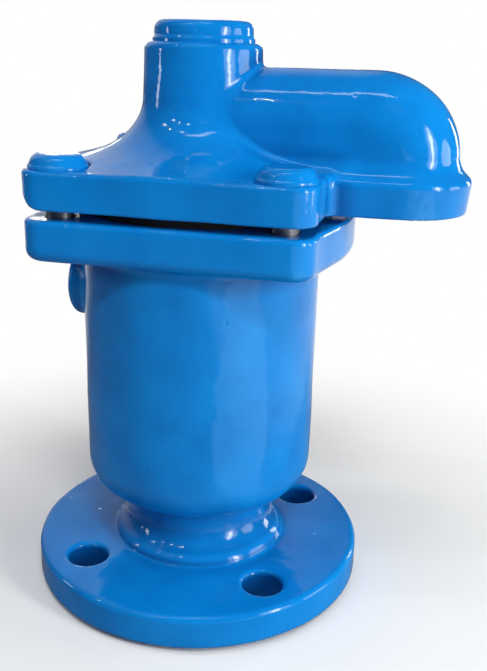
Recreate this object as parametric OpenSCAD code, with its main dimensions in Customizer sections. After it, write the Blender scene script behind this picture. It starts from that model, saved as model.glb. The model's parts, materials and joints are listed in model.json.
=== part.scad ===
// Flanged air release valve with a down-turned side outlet.
// A shutter closes the large orifice; a float under it closes the small orifice in its stem.
// Millimetres. Origin at the centre of the inlet sealing face, +Z up, outlet towards +X.

/* [Inlet flange] */
// Outside diameter of the round inlet flange
flange_d = 165; // [150:1:200]
// Thickness of the flange rim
flange_t = 16; // [12:0.5:26]
// Edge rounding of the flange rim
rim_edge = 3; // [0.5:0.5:5]
// Diameter of the raised sealing face
face_d = 99; // [80:1:104]
// Height of the raised sealing face
face_h = 3; // [1:0.5:5]
// Inlet bore diameter
bore_d = 50; // [36:1:54]
// Diameter of the circle of flange bolts
bolt_circle = 125; // [123:1:140]
// Number of flange bolt holes
hole_count = 4; // [4:4:8]
// Diameter of the flange bolt holes
hole_d = 19; // [12:0.5:22]

/* [Body casting] */
// Outside diameter of the barrel
barrel_d = 112; // [108:1:116]
// Straight length of the barrel below the square flange
barrel_len = 105.7; // [98:0.1:140]
// Wall of the barrel and its rounded bottom
wall = 7; // [6:0.5:9]
// Outside radius of the rounded barrel bottom
bowl_r = 17; // [10:0.5:18]
// Wall of the inlet neck
neck_wall = 8; // [5:0.5:9]
// Length of the neck above the hub fillet
neck_len = 15; // [8:0.5:24]
// Fillet between the neck and the barrel bottom
neck_fillet = 5; // [2:0.5:6]
// Fillet between the neck and the hub
hub_fillet = 10; // [6:0.5:13]
// Height of the hub pad on the flange
hub_h = 3.5; // [2:0.5:8]
// Fillet under the square flange
root_fillet = 4; // [2:0.5:6]

/* [Side port] */
// Diameter of the side boss
port_boss_d = 34; // [30:1:38]
// How far the side boss stands out of the barrel
port_boss_len = 7.2; // [6:0.2:20]
// Edge rounding of the side boss
port_edge = 3; // [1:0.5:5]
// Distance of the side port below the square flange
port_drop = 23.2; // [22:0.2:40]
// Thread diameter of the test plug
port_d = 20.8; // [16:0.2:24]
// Depth of the plug below the end of the boss
port_sink = 1; // [0:0.5:3]
// Width across flats of the plug socket
port_key = 10; // [6:1:12]

/* [Square joint] */
// How far the sides of both square flanges stand out of the barrel
square_reach = 7; // [5:0.5:12]
// Corner radius of the square flanges
corner_r = 10; // [8:0.5:14]
// Thickness of the body flange
body_flange_t = 18.2; // [17:0.2:26]
// Thickness of the cover flange
cover_flange_t = 16.6; // [15:0.2:24]
// How far the body flange has a round lobe past its side, below the outlet
lobe_reach = 7; // [3:0.5:11]
// Step between the faces of the flange and its lobe
lobe_step = 1; // [0.5:0.25:3]
// Lower edge rounding of the body flange
body_edge = 5; // [2:0.5:7]
// Lower edge rounding of the cover flange
cover_edge = 2; // [1:0.5:4]
// Draft of the cover flange on the side away from the outlet
cover_draft = 6; // [0:0.5:6.5]
// Upper edge rounding of both flanges
top_edge = 2; // [1:0.5:3]
// Thickness of the gasket, which keeps the flanges apart
gasket_t = 4; // [2:0.5:6]
// Distance of the gasket from the flange sides
gasket_inset = 6; // [4:0.5:6.5]
// Distance of the cover bolts from the flange sides
bolt_inset = 14; // [13:0.5:16]
// Thread diameter of the cover bolts
bolt_d = 12; // [8:1:14]
// Diameter of the low round bolt heads
bolt_head_d = 29; // [24:1:30]
// Height of the bolt heads
bolt_head_h = 6; // [4:0.5:8]
// Depth of the bolt thread in the body flange
bolt_grip = 14; // [10:0.5:14.5]

/* [Tower] */
// Rise of the crown over the cover flange
crown_h = 4; // [1:0.5:6]
// Tower radius at the top of its root fillet
tower_r = 27; // [26:0.5:29]
// Tower radius at the shoulder
tower_top_r = 26.2; // [25.5:0.1:27]
// Root fillet of the tower
tower_fillet = 27; // [18:1:30]
// Height of the tower above its root fillet
tower_h = 20.5; // [18:0.5:40]
// Edge rounding of the tower shoulder
shoulder_edge = 3; // [1:0.5:4]
// Wall of the tower
tower_wall = 7.5; // [5:0.5:8]
// Radius of the bell above the seat
bell_r = 28; // [24:1:30]
// Height of the cone that narrows the bell to the tower bore
bell_cone_h = 18; // [12:1:24]
// Diameter of the plug head
plug_head_d = 44.2; // [40:0.2:46]
// Height of the plug head
plug_head_h = 8.1; // [6:0.1:14]
// Edge rounding of the plug head
plug_edge = 3; // [1:0.5:5]
// Thread diameter of the plug
plug_d = 35; // [30:0.5:37]
// Thread length of the plug
plug_len = 14; // [10:0.5:15]
// Thickness of the seal under the plug head
plug_seal_t = 1; // [0.5:0.5:3]
// Diameter of the two spanner holes in the plug head
spanner_d = 5; // [3:0.5:7]
// Depth of the spanner holes
spanner_depth = 3; // [2:0.5:3.5]

/* [Outlet duct] */
// Outside radius of the round top of the duct
duct_r = 23.5; // [22:0.5:25]
// Wall of the duct
duct_wall = 6; // [4:0.5:8]
// Height of the duct centre above the cover flange
duct_rise = 18.5; // [17:0.5:19]
// Centreline radius of the bend
bend_r = 13.5; // [11:0.5:16]
// Distance of the outlet centre from the valve axis
outlet_x = 91.5; // [90:0.5:110]
// Outside radius of the lip round the mouth
lip_r = 29.5; // [29:0.5:32]
// Draft of the lip sides over their height
lip_draft = 1.4; // [0.5:0.1:2]
// Height of the lip at its edge
lip_h = 14.6; // [13.6:0.2:16]
// Rise of the lip top from its edge to the duct
lip_rise = 5.5; // [2:0.5:7]
// Edge rounding of the lip top
lip_edge = 1.5; // [1:0.5:3]
// Fillet between the lip and the square flange
lip_fillet = 5; // [3:0.5:7]
// Radius of the outlet mouth
mouth_r = 22.5; // [22.5:0.1:23.5]
// Depth of the outlet mouth up to the duct floor
mouth_depth = 13.4; // [12:0.2:13.4]
// Thickness of the outlet screen
screen_t = 1.5; // [1:0.5:3]
// Hole diameter of the outlet screen
screen_hole_d = 3.4; // [2:0.2:4]
// Hole spacing of the outlet screen
screen_pitch = 5; // [4.5:0.25:8]
// Wire width of the snap ring that holds the screen
clip_w = 3; // [2:0.5:4]
// Depth of the snap ring groove
clip_groove = 0.8; // [0.5:0.1:1.2]

/* [Orifices and shutter] */
// Width of the seal that overlaps the seat round the large orifice
seal_w = 9; // [7:0.5:10]
// Radial width of the seat ring
seat_w = 12; // [10:0.5:13]
// Height of the seat ring
seat_h = 7; // [5:0.5:9]
// Lift of the shutter
shutter_lift = 18; // [10:1:19]
// Gap between the shutter disc and the spacers
shutter_gap = 4; // [3:0.5:6]
// Thickness of the shutter disc
shutter_t = 8; // [7:0.5:10]
// Rim of the shutter disc outside the seal
seal_rim = 4; // [3:0.5:6]
// Height of the seal above the disc
seal_proud = 2; // [1:0.5:3]
// Diameter of the shutter stem
stem_d = 10; // [8:0.5:12]
// Diameter of the air drilling in the stem
stem_bore_d = 3.2; // [2:0.2:4]
// Small orifice diameter
nozzle_bore_d = 1.6; // [1:0.2:2.4]
// Height of the stem nut
stem_nut_h = 5; // [4:0.5:7]
// Thickness of the seal clamp plate
clamp_t = 2; // [1.5:0.5:3]
// Wall of the stem bush
bush_wall = 3; // [2:0.5:4]
// Length of the stem bush
bush_len = 18; // [16:1:20]

/* [Float and cage] */
// Travel of the float on the shutter
float_play = 4.8; // [3:0.2:6]
// Wall of the float shells
float_wall = 1; // [0.8:0.1:2]
// Corner radius of the float
float_edge = 14; // [10:1:18]
// Gap between the float and the spacers
float_gap = 1; // [0.5:0.25:2]
// Depth of the yoke under the shutter disc
yoke_depth = 21.2; // [20:0.2:26]
// Sheet thickness of the yoke
yoke_t = 2; // [1.5:0.5:3]
// Width of the yoke strap
yoke_w = 16; // [14:1:18]
// Radius of the orifice pad
pad_r = 6; // [5:0.5:7]
// Thickness of the cage plates
plate_t = 4; // [3:0.5:5]
// Ledge in the body that carries the cage ring
cage_ledge = 2; // [1.5:0.25:2.5]
// Height of the cage ring
cage_ring_h = 8; // [7:0.5:10]
// Number of tie rods
rod_count = 4; // [3:1:6]
// Diameter of the tie rods
rod_d = 5; // [4:0.5:6]
// Diameter of the spacers on the tie rods
spacer_d = 8; // [7:0.5:9]
// Gap between the spacers and the barrel
spacer_gap = 2; // [1.5:0.25:3]

/* [Fits] */
// Radial clearance of a sliding stem
slide_fit = 0.05; // [0.02:0.01:0.1]
// Radial clearance of screwed and pressed pieces
close_fit = 0.1; // [0.05:0.01:0.15]
// Radial clearance of the cover bolt holes
bolt_fit = 0.75; // [0.3:0.05:1]
// Space left between a moving piece and its stop
stop_gap = 0.2; // [0.1:0.05:0.3]

/* [Hidden] */
$fn = 96;
past = 1;                 // how far a cutting tool runs past a face
lobe_angle = 70;
barrel_r = barrel_d / 2;
half_w = barrel_r + square_reach;
square_w = 2 * half_w;
lobe_r = half_w + lobe_reach;
chamber_r = barrel_r - wall;
bore_r = bore_d / 2;
neck_r = bore_r + neck_wall;
neck_cove = min(neck_fillet, barrel_r - bowl_r - neck_r);

// Heights of the body, from the sealing face up
z_rim = face_h + flange_t;
z_hub = z_rim + hub_h;
z_neck = z_hub + hub_fillet;
z_bowl = z_neck + neck_len;
z_barrel = z_bowl + bowl_r;
z_body_flange = z_barrel + barrel_len;
z_joint = z_body_flange + body_flange_t;
z_port = z_body_flange - port_drop;

// Heights of the cover
z_cover = z_joint + gasket_t;
z_deck = z_cover + cover_flange_t;
z_crown = z_deck + crown_h;
z_tower = z_crown + tower_fillet;
z_shoulder = z_tower + tower_h;
z_plug = z_shoulder + plug_seal_t;
z_seat = z_cover + seat_h;
z_plug_end = z_shoulder - plug_len;
tower_bore_r = tower_r - tower_wall;

// Duct and mouth
z_duct = z_deck + duct_rise;
z_bend = z_duct - bend_r;
bend_x = outlet_x - bend_r;
duct_bore_r = duct_r - duct_wall;
z_mouth = z_cover + mouth_depth;
z_clip = z_mouth - screen_t;
clip_t = screen_t;

// Cover bolts
bolt_xy = half_w - bolt_inset;
bolt_r = bolt_d / 2;
bolt_head_r = bolt_head_d / 2;
spot_face_r = bolt_head_r + 1.5;

// Guide cage
cage_r = chamber_r + cage_ledge;
gasket_out_r = half_w - gasket_inset;
gasket_gap = 0.6;
gasket_in_r = cage_r + gasket_gap;
spacer_r = spacer_d / 2;
rod_r = rod_d / 2;
rod_head_r = rod_r + 2;
rod_head_h = 3;
rod_circle_r = chamber_r - spacer_r - spacer_gap;
shutter_r = rod_circle_r - spacer_r - shutter_gap;
cage_step = 2;
cage_bore_r = shutter_r + cage_step;
z_cage = z_cover - cage_ring_h;
arm_w = spacer_d;
nut_h = 4;
nut_af = rod_d + 3;

// Shutter, from the seat down
seal_out_r = shutter_r - seal_rim;
orifice_r = seal_out_r - seal_w;
seat_r = orifice_r + seat_w;
z_seal = z_cover - shutter_lift - stop_gap;
z_disc = z_seal - seal_proud - shutter_t;
z_disc_top = z_disc + shutter_t;
seal_lap = 6;
seal_step = 1;
seal_in_r = orifice_r - seal_lap;
seal_step_r = orifice_r - seal_step;
seal_depth = 3;
seal_flange_t = 2.5;
z_seal_floor = z_disc_top - seal_depth;
z_clamp = z_seal_floor + seal_flange_t;
z_stem_nut = z_clamp + clamp_t;
stem_r = stem_d / 2;
stem_bore_r = stem_bore_d / 2;
collar_w = 6;
collar_r = stem_r + collar_w;
collar_h = 5;
z_collar = z_disc - collar_h;
air_hole_rise = 5;
z_air_hole = z_stem_nut + stem_nut_h + air_hole_rise;
nozzle_r = 4;
nozzle_len = 7;
nozzle_head_r = 7;
nozzle_head_h = 1.5;
nozzle_tip_h = 0.5;
nozzle_tip_r = 2.2;
z_tip = z_collar - nozzle_head_h - nozzle_tip_h;
shelf_step = 2;
shelf_w = 3.5;
shelf_out_r = shutter_r - shelf_step;
shelf_in_r = shelf_out_r - shelf_w;
z_shelf = z_disc - stop_gap - plate_t;

// Stem guide in the tower plug
bush_r = stem_r + bush_wall;
bush_drop = 8.5;
bush_grip = 9;
z_bush = z_plug_end - bush_drop;
z_stem_end = z_bush + bush_grip;
z_guide_end = z_stem_end + shutter_lift + 1;
spanner_x = plug_head_d / 2 - plug_edge - spanner_d;

// Float, from the yoke down
z_pad = z_tip - stop_gap - float_play;
pad_proud = 2;
pad_sink = 2;
holder_r = pad_r + 3;
holder_h = 4;
holder_neck_r = 4;
z_holder = z_pad - pad_proud - holder_h;
z_yoke = z_disc - yoke_depth;
yoke_floor_t = z_holder - stop_gap - z_yoke;
yoke_gap = 2.5;
yoke_x = shelf_in_r - yoke_gap;
foot_x = collar_r + 1.5;
yoke_screw_x = (foot_x + yoke_x - yoke_t) / 2;
yoke_screw_r = 2;
yoke_screw_len = 4;
yoke_head_r = 3.2;
yoke_head_h = 2.5;
holder_foot_r = 8;
holder_foot_h = 2;
z_float_top = z_yoke - float_play - holder_foot_h - 3;
z_floor = z_barrel + nut_h;
z_float = z_floor + plate_t + 1;
z_seam = (z_float + z_float_top) / 2;
float_r = rod_circle_r - spacer_r - float_gap;
baffle_step = 8;
baffle_r = float_r - baffle_step;

paint = [0.05, 0.42, 0.78];
steel = [0.72, 0.73, 0.75];
bronze = [0.72, 0.52, 0.28];
rubber = [0.08, 0.08, 0.09];

// Shared outlines

// Plate section from the axis to width w and height t, outer edges rounded by low and high
module plate_section(w, t, low, high) {
    difference() {
        square([w, t]);
        if (low > 0) translate([w - low, -past]) square([low + past, low + past]);
        if (high > 0) translate([w - high, t - high]) square([high + past, high + past]);
    }
    if (low > 0) translate([w - low, low]) quarter(low);
    if (high > 0) translate([w - high, t - high]) mirror([0, 1]) quarter(high);
}

// Concave fillet in the corner at the origin, r along both sides
module cove(r) {
    difference() {
        square(r);
        translate([r, r]) circle(r);
    }
}

// Quarter disc below and to the right of the origin
module quarter(r) {
    intersection() {
        circle(r);
        translate([0, -r]) square(r);
    }
}

// Both halves of a section that is drawn on one side of the axis
module both_sides() {
    children();
    mirror([1, 0]) children();
}

// Prism along X from x0 to x1, its outline drawn in the Y and Z directions
module along_x(x0, x1) {
    translate([x0, 0, 0]) rotate([90, 0, 90]) linear_extrude(x1 - x0) children();
}

// Square slab with rounded corners and edges
module slab(t, low, high) {
    run = half_w - corner_r;
    along_x(-run, run) both_sides() plate_section(half_w, t, low, high);
    for (turn = [0, 180])
        rotate(turn) translate([run, run, 0]) rotate([90, 0, 0])
            linear_extrude(2 * run) plate_section(corner_r, t, low, high);
    for (turn = [0 : 90 : 270])
        rotate(turn) translate([run, run, 0])
            rotate_extrude(angle = 90) plate_section(corner_r, t, low, high);
}

// Copies at the four corner bolts
module at_bolts() {
    for (x = [-bolt_xy, bolt_xy])
        for (y = [-bolt_xy, bolt_xy])
            translate([x, y, 0]) children();
}

// Copies round the axis at the tie rods
module at_rods() {
    for (i = [0 : rod_count - 1])
        rotate(45 + i * 360 / rod_count) translate([rod_circle_r, 0, 0]) children();
}

// Tube standing at height z
module tube(z, h, out_r, in_r) {
    translate([0, 0, z]) difference() {
        cylinder(h, r = out_r);
        translate([0, 0, -past]) cylinder(h + 2 * past, r = in_r);
    }
}

// Hexagon across flats af
module hexagon(af) {
    circle(d = af / cos(30), $fn = 6);
}

// Body casting

// Outer half section of the round part of the body
module body_outline() {
    square([face_d / 2, z_rim]);
    translate([0, face_h]) plate_section(flange_d / 2, flange_t, rim_edge, rim_edge);
    square([neck_r + hub_fillet, z_hub]);
    square([neck_r, z_bowl + bowl_r]);
    translate([neck_r, z_hub]) cove(hub_fillet);
    translate([neck_r, z_bowl]) mirror([0, 1]) cove(neck_cove);
    translate([0, z_bowl]) square([barrel_r - bowl_r, bowl_r]);
    translate([barrel_r - bowl_r, z_barrel]) quarter(bowl_r);
    translate([0, z_barrel]) square([barrel_r, barrel_len + body_flange_t]);
    translate([barrel_r, z_body_flange]) mirror([0, 1]) cove(root_fillet);
}

// Half section of the hollow of the body
module body_hollow() {
    translate([0, -past]) square([bore_r, z_barrel + past]);
    translate([0, z_bowl + wall]) square([barrel_r - bowl_r, bowl_r]);
    translate([barrel_r - bowl_r, z_barrel]) quarter(bowl_r - wall);
    translate([0, z_barrel]) square([chamber_r, z_joint - z_barrel + past]);
    translate([0, z_cage]) square([cage_r + close_fit, cage_ring_h]);
}

// Cylinder along -X at the side port, from the axis out to reach
module port_cylinder(reach, r) {
    translate([0, 0, z_port]) rotate([0, -90, 0]) cylinder(reach, r = r);
}

module body() {
    color(paint) difference() {
        union() {
            rotate_extrude() body_outline();
            translate([0, 0, z_body_flange]) slab(body_flange_t, body_edge, top_edge);
            translate([0, 0, z_body_flange + lobe_step])
                rotate(-lobe_angle / 2) rotate_extrude(angle = lobe_angle)
                    plate_section(lobe_r, body_flange_t - 2 * lobe_step, body_edge, top_edge);
            translate([0, 0, z_port]) rotate([0, -90, 0])
                rotate_extrude() plate_section(port_boss_d / 2, barrel_r + port_boss_len, 0, port_edge);
        }
        rotate_extrude() body_hollow();
        port_cylinder(barrel_r + port_boss_len + past, port_d / 2 + close_fit);
        at_bolts() translate([0, 0, z_joint - bolt_grip - past])
            cylinder(bolt_grip + 2 * past, r = bolt_r + close_fit);
        for (i = [0 : hole_count - 1])
            rotate(45 + i * 360 / hole_count) translate([bolt_circle / 2, 0, face_h - past])
                cylinder(flange_t + 2 * past, d = hole_d);
    }
}

// Cover casting

// Outer half section of the crown and tower
module tower_outline() {
    shoulder_r = tower_top_r - shoulder_edge;
    z_edge = z_shoulder - shoulder_edge;
    foot_r = tower_r + tower_fillet;
    rim_r = half_w - top_edge;
    polygon([
        [0, z_cover + cover_edge], [0, z_crown], [foot_r, z_crown], [rim_r, z_deck],
        [rim_r, z_cover + cover_edge]
    ]);
    translate([tower_r, z_crown]) cove(tower_fillet);
    polygon([
        [0, z_deck], [tower_r, z_deck], [tower_r, z_tower], [tower_top_r, z_edge],
        [shoulder_r, z_edge], [shoulder_r, z_shoulder], [0, z_shoulder]
    ]);
    translate([shoulder_r, z_edge]) mirror([0, 1]) quarter(shoulder_edge);
}

// Round-topped outline of radius r about the origin, its walls running down to depth
module arch(r, depth) {
    circle(r);
    translate([-r, -depth]) square([2 * r, depth]);
}

// Round-topped duct of radius r from the valve axis, round the bend and down to the height z_end
module duct_run(r, z_end) {
    translate([0, 0, z_duct]) along_x(0, bend_x) arch(r, z_duct - z_end);
    translate([bend_x, 0, z_bend]) rotate([90, 0, 0]) rotate_extrude(angle = 90) intersection() {
        translate([bend_r, 0]) rotate(-90) arch(r, bend_r);
        translate([0, -r]) square([bend_r + r, 2 * r]);
    }
    translate([outlet_x, 0, z_end]) linear_extrude(z_bend - z_end) rotate(-90) arch(r, bend_r);
}

// Half section of the lip from its axis to its drafted side
module lip_section() {
    edge_r = lip_r - lip_edge;
    z_edge = lip_h - lip_edge;
    polygon([
        [0, 0], [lip_r - lip_draft, 0], [lip_r, z_edge], [edge_r, z_edge], [edge_r, lip_h],
        [duct_r, lip_h + lip_rise], [0, lip_h + lip_rise]
    ]);
    translate([edge_r, z_edge]) mirror([0, 1]) quarter(lip_edge);
}

// Lip round the outlet mouth, with a round end and fillets to the square flange
module lip() {
    inner_y = lip_r - lip_draft;
    translate([0, 0, z_cover]) along_x(half_w - corner_r, outlet_x) both_sides() lip_section();
    translate([outlet_x, 0, z_cover]) rotate(-90) rotate_extrude(angle = 180) lip_section();
    for (side = [0, 1])
        mirror([0, side, 0]) translate([half_w, inner_y, z_cover + cover_edge])
            linear_extrude(lip_h - lip_edge - cover_edge) cove(lip_fillet + lip_draft);
}

// Half section of the hollow above the seat
module bell_hollow() {
    z_cone = z_crown + bell_cone_h;
    translate([0, z_cover - past]) square([seat_r + close_fit, seat_h + past]);
    translate([0, z_seat]) square([bell_r, z_crown - z_seat]);
    polygon([[0, z_crown], [bell_r, z_crown], [tower_bore_r, z_cone], [0, z_cone]]);
    translate([0, z_cone]) square([tower_bore_r, z_plug_end - z_cone]);
    translate([0, z_plug_end]) square([plug_d / 2 + close_fit, plug_len + past]);
}

// Wedge that drafts the side of the cover flange away from the outlet
module draft_cut() {
    drop = cover_flange_t - top_edge;
    translate([-half_w, 0, z_deck - top_edge]) rotate([90, 0, 0])
        linear_extrude(square_w + 2 * past, center = true) polygon([
            [-past, 0], [0, 0], [cover_draft, -drop], [cover_draft, -drop - past], [-past, -drop - past]
        ]);
}

module cover() {
    color(paint) difference() {
        union() {
            translate([0, 0, z_cover]) slab(cover_flange_t, cover_edge, top_edge);
            rotate_extrude() tower_outline();
            duct_run(duct_r, z_cover + lip_h);
            lip();
        }
        draft_cut();
        rotate_extrude() bell_hollow();
        duct_run(duct_bore_r, z_mouth);
        translate([outlet_x, 0, z_cover - past]) cylinder(z_mouth - z_cover + past, r = mouth_r);
        translate([outlet_x, 0, z_clip - clip_t]) cylinder(clip_t, r = mouth_r + clip_groove);
        at_bolts() {
            translate([0, 0, z_cover - past]) cylinder(cover_flange_t + 2 * past, r = bolt_r + bolt_fit);
            translate([0, 0, z_deck]) cylinder(crown_h + past, r = spot_face_r);
        }
    }
}

// Joint, bolts and plugs

module cover_gasket() {
    color(rubber) tube(z_joint, gasket_t, gasket_out_r, gasket_in_r);
}

module cover_bolts() {
    color(paint) at_bolts() {
        translate([0, 0, z_joint - bolt_grip]) cylinder(bolt_grip + gasket_t + cover_flange_t, r = bolt_r);
        translate([0, 0, z_deck]) rotate_extrude() plate_section(bolt_head_r, bolt_head_h, 0, bolt_head_h);
    }
}

module tower_plug() {
    color(paint) difference() {
        union() {
            translate([0, 0, z_plug_end]) cylinder(plug_len + plug_seal_t, d = plug_d);
            translate([0, 0, z_plug]) rotate_extrude()
                plate_section(plug_head_d / 2, plug_head_h, 0, plug_edge);
        }
        translate([0, 0, z_plug_end - past])
            cylinder(z_bush + bush_len - z_plug_end + past, r = bush_r + close_fit);
        translate([0, 0, z_plug_end]) cylinder(z_guide_end - z_plug_end, r = stem_r + stop_gap);
        for (x = [-1, 1])
            translate([x * spanner_x, 0, z_plug + plug_head_h - spanner_depth])
                cylinder(spanner_depth + past, d = spanner_d);
    }
}

module plug_seal() {
    color(rubber) tube(z_shoulder, plug_seal_t, plug_head_d / 2 - plug_seal_t, plug_d / 2 + close_fit);
}

module stem_bush() {
    color(bronze) tube(z_bush, bush_len, bush_r, stem_r + slide_fit);
}

module test_plug() {
    reach = barrel_r + port_boss_len - port_sink;
    key_depth = 8;
    color(paint) difference() {
        port_cylinder(reach, port_d / 2);
        port_cylinder(chamber_r + past, port_d / 2 + past);
        translate([key_depth - reach, 0, z_port]) rotate([0, -90, 0])
            linear_extrude(key_depth + past) hexagon(port_key);
    }
}

// Outlet screen

module outlet_screen() {
    reach = mouth_r - close_fit;
    rows = floor(reach / screen_pitch);
    rim = reach - screen_hole_d / 2 - 2;
    color(steel) translate([outlet_x, 0, z_clip]) linear_extrude(screen_t) difference() {
        circle(reach);
        for (i = [-rows : rows])
            for (j = [-rows : rows])
                if (norm([i, j]) * screen_pitch < rim)
                    translate([i, j] * screen_pitch) circle(d = screen_hole_d);
    }
}

module screen_clip() {
    out_r = mouth_r + clip_groove - close_fit;
    gap_w = 10;
    color(steel) difference() {
        translate([outlet_x, 0, 0]) tube(z_clip - clip_t, clip_t, out_r, out_r - clip_w);
        translate([outlet_x - out_r - past, -gap_w / 2, z_clip - clip_t - past])
            cube([out_r, gap_w, clip_t + 2 * past]);
    }
}

// Seat and cage

module seat_ring() {
    key_w = 6;
    key_depth = 3;
    color(bronze) difference() {
        tube(z_cover, seat_h, seat_r, orifice_r);
        for (turn = [0, 90])
            rotate(turn) translate([-orifice_r - key_depth, -key_w / 2, z_seat - key_depth])
                cube([2 * (orifice_r + key_depth), key_w, key_depth + past]);
    }
}

module cage_ring() {
    color(steel) difference() {
        tube(z_cage, cage_ring_h, cage_r, cage_bore_r);
        at_rods() {
            translate([0, 0, z_cage - past]) cylinder(cage_ring_h, r = rod_r + close_fit);
            translate([0, 0, z_cover - rod_head_h - stop_gap])
                cylinder(rod_head_h + past, r = rod_head_r + close_fit);
        }
    }
}

module tie_rods() {
    color(steel) at_rods() {
        translate([0, 0, z_floor - nut_h]) cylinder(z_cover - stop_gap - z_floor + nut_h, r = rod_r);
        translate([0, 0, z_cover - stop_gap - rod_head_h]) cylinder(rod_head_h, r = rod_head_r);
    }
}

module upper_spacers() {
    color(steel) at_rods() tube(z_shelf + plate_t, z_cage - z_shelf - plate_t, spacer_r, rod_r + close_fit);
}

module lower_spacers() {
    color(steel) at_rods() tube(z_floor + plate_t, z_shelf - z_floor - plate_t, spacer_r, rod_r + close_fit);
}

// Plate with one arm to each tie rod
module spider(z, out_r, in_r) {
    translate([0, 0, z]) linear_extrude(plate_t) difference() {
        union() {
            circle(out_r);
            at_rods() {
                circle(spacer_r);
                translate([-rod_circle_r, -arm_w / 2]) square([rod_circle_r, arm_w]);
            }
        }
        if (in_r > 0) circle(in_r);
        at_rods() circle(rod_r + close_fit);
    }
}

module shutter_shelf() {
    color(steel) spider(z_shelf, shelf_out_r, shelf_in_r);
}

module cage_floor() {
    drain_d = 5;
    drain_count = 6;
    drain_inset = 12;
    drain_circle_r = baffle_r - drain_inset;
    color(steel) difference() {
        spider(z_floor, baffle_r, 0);
        for (i = [0 : drain_count - 1])
            rotate(i * 360 / drain_count) translate([drain_circle_r, 0, z_floor - past])
                cylinder(plate_t + 2 * past, d = drain_d);
    }
}

module rod_nuts() {
    color(steel) at_rods() translate([0, 0, z_floor - nut_h]) linear_extrude(nut_h) difference() {
        hexagon(nut_af);
        circle(rod_r + close_fit);
    }
}

// Shutter

module shutter_disc() {
    color(steel) difference() {
        translate([0, 0, z_disc]) cylinder(shutter_t, r = shutter_r);
        tube(z_seal_floor, seal_depth + past, seal_out_r + close_fit, seal_in_r - close_fit);
        translate([0, 0, z_clamp]) cylinder(shutter_t, r = seal_in_r);
        translate([0, 0, z_disc - past]) cylinder(shutter_t + 2 * past, r = stem_r + close_fit);
        for (x = [-yoke_screw_x, yoke_screw_x])
            translate([x, 0, z_disc - past]) cylinder(yoke_screw_len + past, r = yoke_screw_r + close_fit);
    }
}

module shutter_seal() {
    color(rubber) rotate_extrude() {
        translate([seal_in_r, z_seal_floor]) square([seal_out_r - seal_in_r, seal_flange_t]);
        translate([seal_step_r, z_seal_floor]) square([seal_out_r - seal_step_r, z_seal - z_seal_floor]);
    }
}

module seal_clamp() {
    color(steel) tube(z_clamp, clamp_t, seal_step_r - close_fit, stem_r + close_fit);
}

module shutter_stem() {
    color(steel) difference() {
        union() {
            translate([0, 0, z_collar]) cylinder(collar_h, r = collar_r);
            translate([0, 0, z_disc]) cylinder(z_stem_end - z_disc, r = stem_r);
        }
        translate([0, 0, z_collar - past]) cylinder(nozzle_len + past, r = nozzle_r + close_fit);
        translate([0, 0, z_collar]) cylinder(z_air_hole - z_collar, r = stem_bore_r);
        translate([0, -stem_r - past, z_air_hole]) rotate([-90, 0, 0])
            cylinder(2 * (stem_r + past), r = stem_bore_r);
    }
}

module stem_nut() {
    nut_w = 6;
    color(steel) translate([0, 0, z_stem_nut]) linear_extrude(stem_nut_h) difference() {
        hexagon(stem_d + nut_w);
        circle(stem_r + close_fit);
    }
}

module nozzle() {
    color(bronze) difference() {
        union() {
            translate([0, 0, z_collar]) cylinder(nozzle_len - stop_gap, r = nozzle_r);
            translate([0, 0, z_collar - nozzle_head_h]) cylinder(nozzle_head_h, r = nozzle_head_r);
            translate([0, 0, z_tip])
                cylinder(nozzle_tip_h, r1 = nozzle_tip_r - nozzle_tip_h, r2 = nozzle_tip_r);
        }
        translate([0, 0, z_tip - past])
            cylinder(nozzle_len + z_collar - z_tip + 2 * past, d = nozzle_bore_d);
    }
}

module yoke() {
    leg_h = z_disc - z_yoke;
    color(steel) difference() {
        union() {
            translate([-yoke_x, -yoke_w / 2, z_yoke]) cube([2 * yoke_x, yoke_w, yoke_floor_t]);
            for (turn = [0, 180]) rotate(turn) {
                translate([yoke_x - yoke_t, -yoke_w / 2, z_yoke]) cube([yoke_t, yoke_w, leg_h]);
                translate([foot_x, -yoke_w / 2, z_disc - yoke_t]) cube([yoke_x - foot_x, yoke_w, yoke_t]);
            }
        }
        translate([0, 0, z_yoke - past]) linear_extrude(yoke_floor_t + 2 * past) {
            circle(holder_neck_r + stop_gap);
            translate([-holder_neck_r - stop_gap, 0]) square([2 * (holder_neck_r + stop_gap), yoke_w]);
        }
        for (x = [-yoke_screw_x, yoke_screw_x])
            translate([x, 0, z_disc - yoke_t - past])
                cylinder(yoke_t + 2 * past, r = yoke_screw_r + close_fit);
    }
}

module yoke_screws() {
    z_head = z_disc - yoke_t;
    color(steel) for (x = [-yoke_screw_x, yoke_screw_x]) translate([x, 0, z_head]) {
        cylinder(yoke_t + yoke_screw_len - stop_gap, r = yoke_screw_r);
        translate([0, 0, -yoke_head_h]) cylinder(yoke_head_h, r = yoke_head_r);
    }
}

// Float

// Half section of the float, shrunk by inset on every side
module float_outline(inset) {
    edge = float_edge - inset;
    translate([0, z_float + inset])
        plate_section(float_r - inset, z_float_top - z_float - 2 * inset, edge, edge);
}

// Float shell between two heights
module float_shell(z0, z1) {
    rotate_extrude() intersection() {
        difference() {
            float_outline(0);
            float_outline(float_wall);
        }
        translate([0, z0]) square([float_r, z1 - z0]);
    }
}

module float_top() {
    color(steel) float_shell(z_seam, z_float_top);
}

module float_bottom() {
    color(steel) float_shell(z_float, z_seam);
}

module pad_holder() {
    color(steel) difference() {
        union() {
            translate([0, 0, z_float_top]) cylinder(holder_foot_h, r = holder_foot_r);
            translate([0, 0, z_float_top]) cylinder(z_holder - z_float_top, r = holder_neck_r);
            translate([0, 0, z_holder]) cylinder(holder_h, r = holder_r);
        }
        translate([0, 0, z_holder + holder_h - pad_sink]) cylinder(pad_sink + past, r = pad_r + close_fit);
    }
}

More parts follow.
